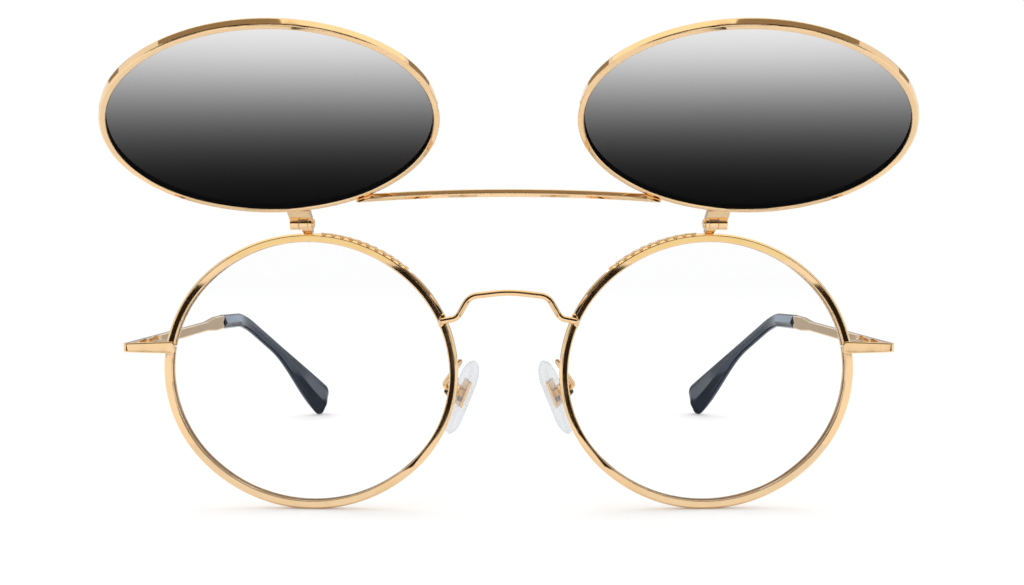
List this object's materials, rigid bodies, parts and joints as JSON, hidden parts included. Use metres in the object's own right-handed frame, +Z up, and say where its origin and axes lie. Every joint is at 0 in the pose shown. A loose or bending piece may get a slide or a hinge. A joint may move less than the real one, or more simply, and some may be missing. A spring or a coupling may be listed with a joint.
{
  "type": "flip up sunglasses",
  "caption": "Round gold wire spectacles with clear lenses, folding temples, soft nose pads, and a second frame of dark tinted lenses that hinges up at the brow.",
  "frame": {"origin": "on the table, under the middle of the box around the whole object", "axes": "+X to the right as seen from the front, +Y to the back along the temples, +Z up"},
  "size_m": [0.1376, 0.1806, 0.076],
  "materials": {
    "gold_metal": "polished gold plate",
    "clear_lens": "clear polished",
    "tinted_lens": "dark tint, polished",
    "dark_tip": "navy black, polished",
    "clear_silicone": "clear soft silicone",
    "spring_steel": "plain"
  },
  "bodies": {
    "front": {"bridge": "gold_metal", "left_clear_lens": "clear_lens", "left_end_piece": "gold_metal", "left_flip_hinge_post": "gold_metal", "left_front_hinge_knuckle": "gold_metal", "left_lower_closing_block": "gold_metal", "left_main_rim": "gold_metal", "left_pad_arm": "gold_metal", "left_pad_box": "gold_metal", "left_pad_screw": "gold_metal", "left_rim_lock_screw": "gold_metal", "left_temple_hinge_screw": "gold_metal", "left_upper_closing_block": "gold_metal", "right_clear_lens": "clear_lens", "right_end_piece": "gold_metal", "right_flip_hinge_post": "gold_metal", "right_front_hinge_knuckle": "gold_metal", "right_lower_closing_block": "gold_metal", "right_main_rim": "gold_metal", "right_pad_arm": "gold_metal", "right_pad_box": "gold_metal", "right_pad_screw": "gold_metal", "right_rim_lock_screw": "gold_metal", "right_temple_hinge_screw": "gold_metal", "right_upper_closing_block": "gold_metal"},
    "flip_frame": {"brow_bar": "gold_metal", "left_flip_detent_spring": "spring_steel", "left_flip_hinge_leaf": "gold_metal", "left_flip_hinge_pin": "gold_metal", "left_flip_rim": "gold_metal", "left_tinted_lens": "tinted_lens", "right_flip_detent_spring": "spring_steel", "right_flip_hinge_leaf": "gold_metal", "right_flip_hinge_pin": "gold_metal", "right_flip_rim": "gold_metal", "right_tinted_lens": "tinted_lens"},
    "left_temple": {"left_temple": "gold_metal", "left_temple_hinge_knuckle": "gold_metal", "left_temple_tip": "dark_tip"},
    "right_temple": {"right_temple": "gold_metal", "right_temple_hinge_knuckle": "gold_metal", "right_temple_tip": "dark_tip"},
    "left_nose_pad": {"left_nose_pad": "clear_silicone", "left_pad_insert": "gold_metal"},
    "right_nose_pad": {"right_nose_pad": "clear_silicone", "right_pad_insert": "gold_metal"}
  },
  "joints": [
    {"name": "flip", "type": "hinge", "parent": "front", "child": "flip_frame", "pos_m": [0, -0.04521, 0.05053], "axis": [1, 0, 0], "range_deg": [0, 121.4]},
    {"name": "left_temple_fold", "type": "hinge", "parent": "front", "child": "left_temple", "pos_m": [-0.066, -0.02745, 0.02881], "axis": [0, 0, -1], "range_deg": [0, 82]},
    {"name": "right_temple_fold", "type": "hinge", "parent": "front", "child": "right_temple", "pos_m": [0.066, -0.02745, 0.02881], "axis": [0, 0, 1], "range_deg": [0, 87]},
    {"name": "left_pad_rock", "type": "hinge", "parent": "front", "child": "left_nose_pad", "pos_m": [-0.01009, -0.03285, 0.02069], "axis": [-0.2865, 0.9431, 0.1687], "range_deg": [-8, 8]},
    {"name": "right_pad_rock", "type": "hinge", "parent": "front", "child": "right_nose_pad", "pos_m": [0.01009, -0.03285, 0.02069], "axis": [0.2865, 0.9431, 0.1687], "range_deg": [-8, 8]}
  ]
}
